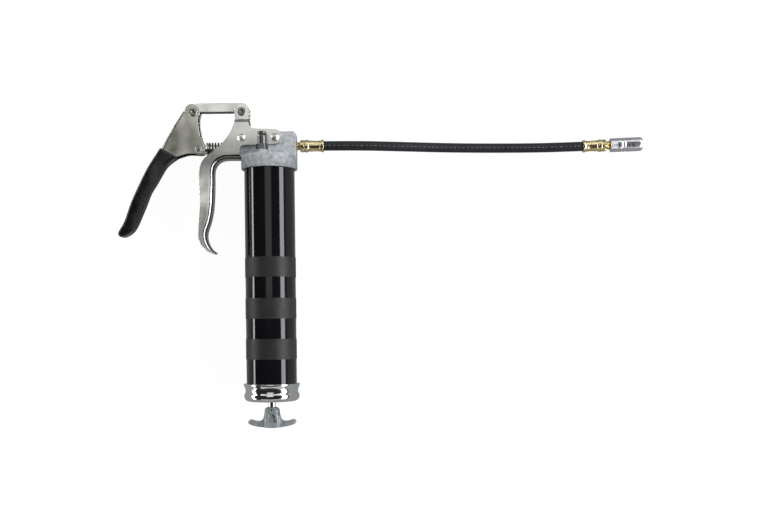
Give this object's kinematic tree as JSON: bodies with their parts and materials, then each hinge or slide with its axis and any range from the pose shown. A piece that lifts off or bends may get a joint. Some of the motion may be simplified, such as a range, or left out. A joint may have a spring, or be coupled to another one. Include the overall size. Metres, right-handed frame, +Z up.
{
  "type": "grease gun",
  "caption": "Pistol-grip lever grease gun: tube barrel, cast pump head, squeeze lever with link, follower rod with T-handle, and a whip hose ending in a coupler.",
  "frame": {"origin": "centre of the footprint of the gun without its hose and coupler, on the bench it lies on", "axes": "+X along the hose, +Y along the barrel from the T-handle to the pump head, +Z up from the bench"},
  "size_m": [0.6041, 0.3704, 0.064],
  "materials": {
    "die_cast": "sand-textured casting, matte",
    "nickel_steel": "satin nickel plate",
    "rivet_steel": "bright plated steel",
    "zinc_plate": "bright zinc plate",
    "barrel_paint": "gloss black enamel",
    "band_texture": "matte, finely textured",
    "black_vinyl": "gloss dipped vinyl",
    "brass": "machined brass",
    "hose_rubber": "satin black rubber",
    "coupler_steel": "machined, plated",
    "spring_black": "black coated wire",
    "spring_steel": "plain spring wire",
    "valve_steel": "dark plated steel",
    "seal_rubber": "moulded rubber",
    "packing": "pressed fibre",
    "plunger_steel": "ground and polished"
  },
  "bodies": {
    "pump_frame": {"head_casting": "die_cast", "front_handle": "nickel_steel", "frame_rivet_rear": "rivet_steel", "frame_rivet_front": "rivet_steel", "link_pivot_rivet": "rivet_steel", "return_spring": "spring_black", "plunger_gland_nut": "brass", "plunger_packing": "packing", "barrel_gasket": "packing", "check_spring": "spring_steel", "vent_valve_body": "valve_steel", "vent_spring": "spring_steel", "barrel_tube": "barrel_paint", "grip_band_upper": "band_texture", "grip_band_middle": "band_texture", "grip_band_lower": "band_texture", "barrel_cap": "zinc_plate", "rod_bushing": "brass", "rod_seal": "seal_rubber", "follower_spring": "spring_steel", "hose_nipple_rear": "brass", "hose_ferrule_rear": "brass", "hose": "hose_rubber", "hose_ferrule_front": "brass", "hose_nipple_front": "brass", "coupler_body": "coupler_steel", "coupler_sleeve": "coupler_steel", "coupler_jaws": "rivet_steel", "coupler_spring": "spring_steel", "coupler_seal": "seal_rubber"},
    "plunger": {"pump_plunger": "plunger_steel", "plunger_spring_seat": "rivet_steel"},
    "lever": {"rear_lever": "nickel_steel", "lever_grip": "black_vinyl", "lever_pivot_rivet": "rivet_steel", "plunger_pin": "rivet_steel"},
    "link": {"top_link": "nickel_steel"},
    "vent_button": {"vent_button": "valve_steel"},
    "check_ball": {"check_ball": "plunger_steel"},
    "follower": {"follower_cup": "seal_rubber", "follower_disc_front": "rivet_steel", "follower_disc_rear": "rivet_steel"},
    "rod": {"follower_rod": "zinc_plate", "follower_nut": "rivet_steel", "follower_clip": "spring_steel", "rod_handle": "die_cast", "handle_pin": "rivet_steel"}
  },
  "joints": [
    {"name": "plunger_stroke", "type": "slide", "parent": "pump_frame", "child": "plunger", "axis": [1, 0, 0], "range_m": [0, 0.014], "stiffness_N_per_m": 800, "springref_m": -0.012, "deforming": ["return_spring"]},
    {"name": "lever_squeeze", "type": "hinge", "parent": "plunger", "child": "lever", "pos_m": [-0.02485, 0.1336, 0.032], "axis": [0, 0, 1], "range_deg": [0, 20]},
    {"name": "link_swing", "type": "hinge", "parent": "pump_frame", "child": "link", "pos_m": [0.02465, 0.1749, 0.032], "axis": [0, 0, 1], "range_deg": [0, 4.2]},
    {"name": "rod_pull", "type": "slide", "parent": "pump_frame", "child": "follower", "axis": [0, -1, 0], "range_m": [0, 0.2], "stiffness_N_per_m": 250, "springref_m": -0.1, "deforming": ["follower_spring"]},
    {"name": "handle_turn", "type": "hinge", "parent": "follower", "child": "rod", "pos_m": [0.05475, -0.1664, 0.032], "axis": [0, 1, 0], "continuous": true},
    {"name": "vent_press", "type": "slide", "parent": "pump_frame", "child": "vent_button", "axis": [0, -1, 0], "range_m": [0, 0.0015], "stiffness_N_per_m": 500, "springref_m": -0.004, "deforming": ["vent_spring"]},
    {"name": "check_ball_lift", "type": "slide", "parent": "pump_frame", "child": "check_ball", "axis": [1, 0, 0], "range_m": [0, 0.0015], "stiffness_N_per_m": 300, "springref_m": -0.003, "deforming": ["check_spring"]}
  ],
  "couplings": [
    {"joint": "plunger_stroke", "follows": "lever_squeeze", "m_per_rad": 0.0399},
    {"joint": "link_swing", "follows": "lever_squeeze", "ratio": 0.208}
  ]
}
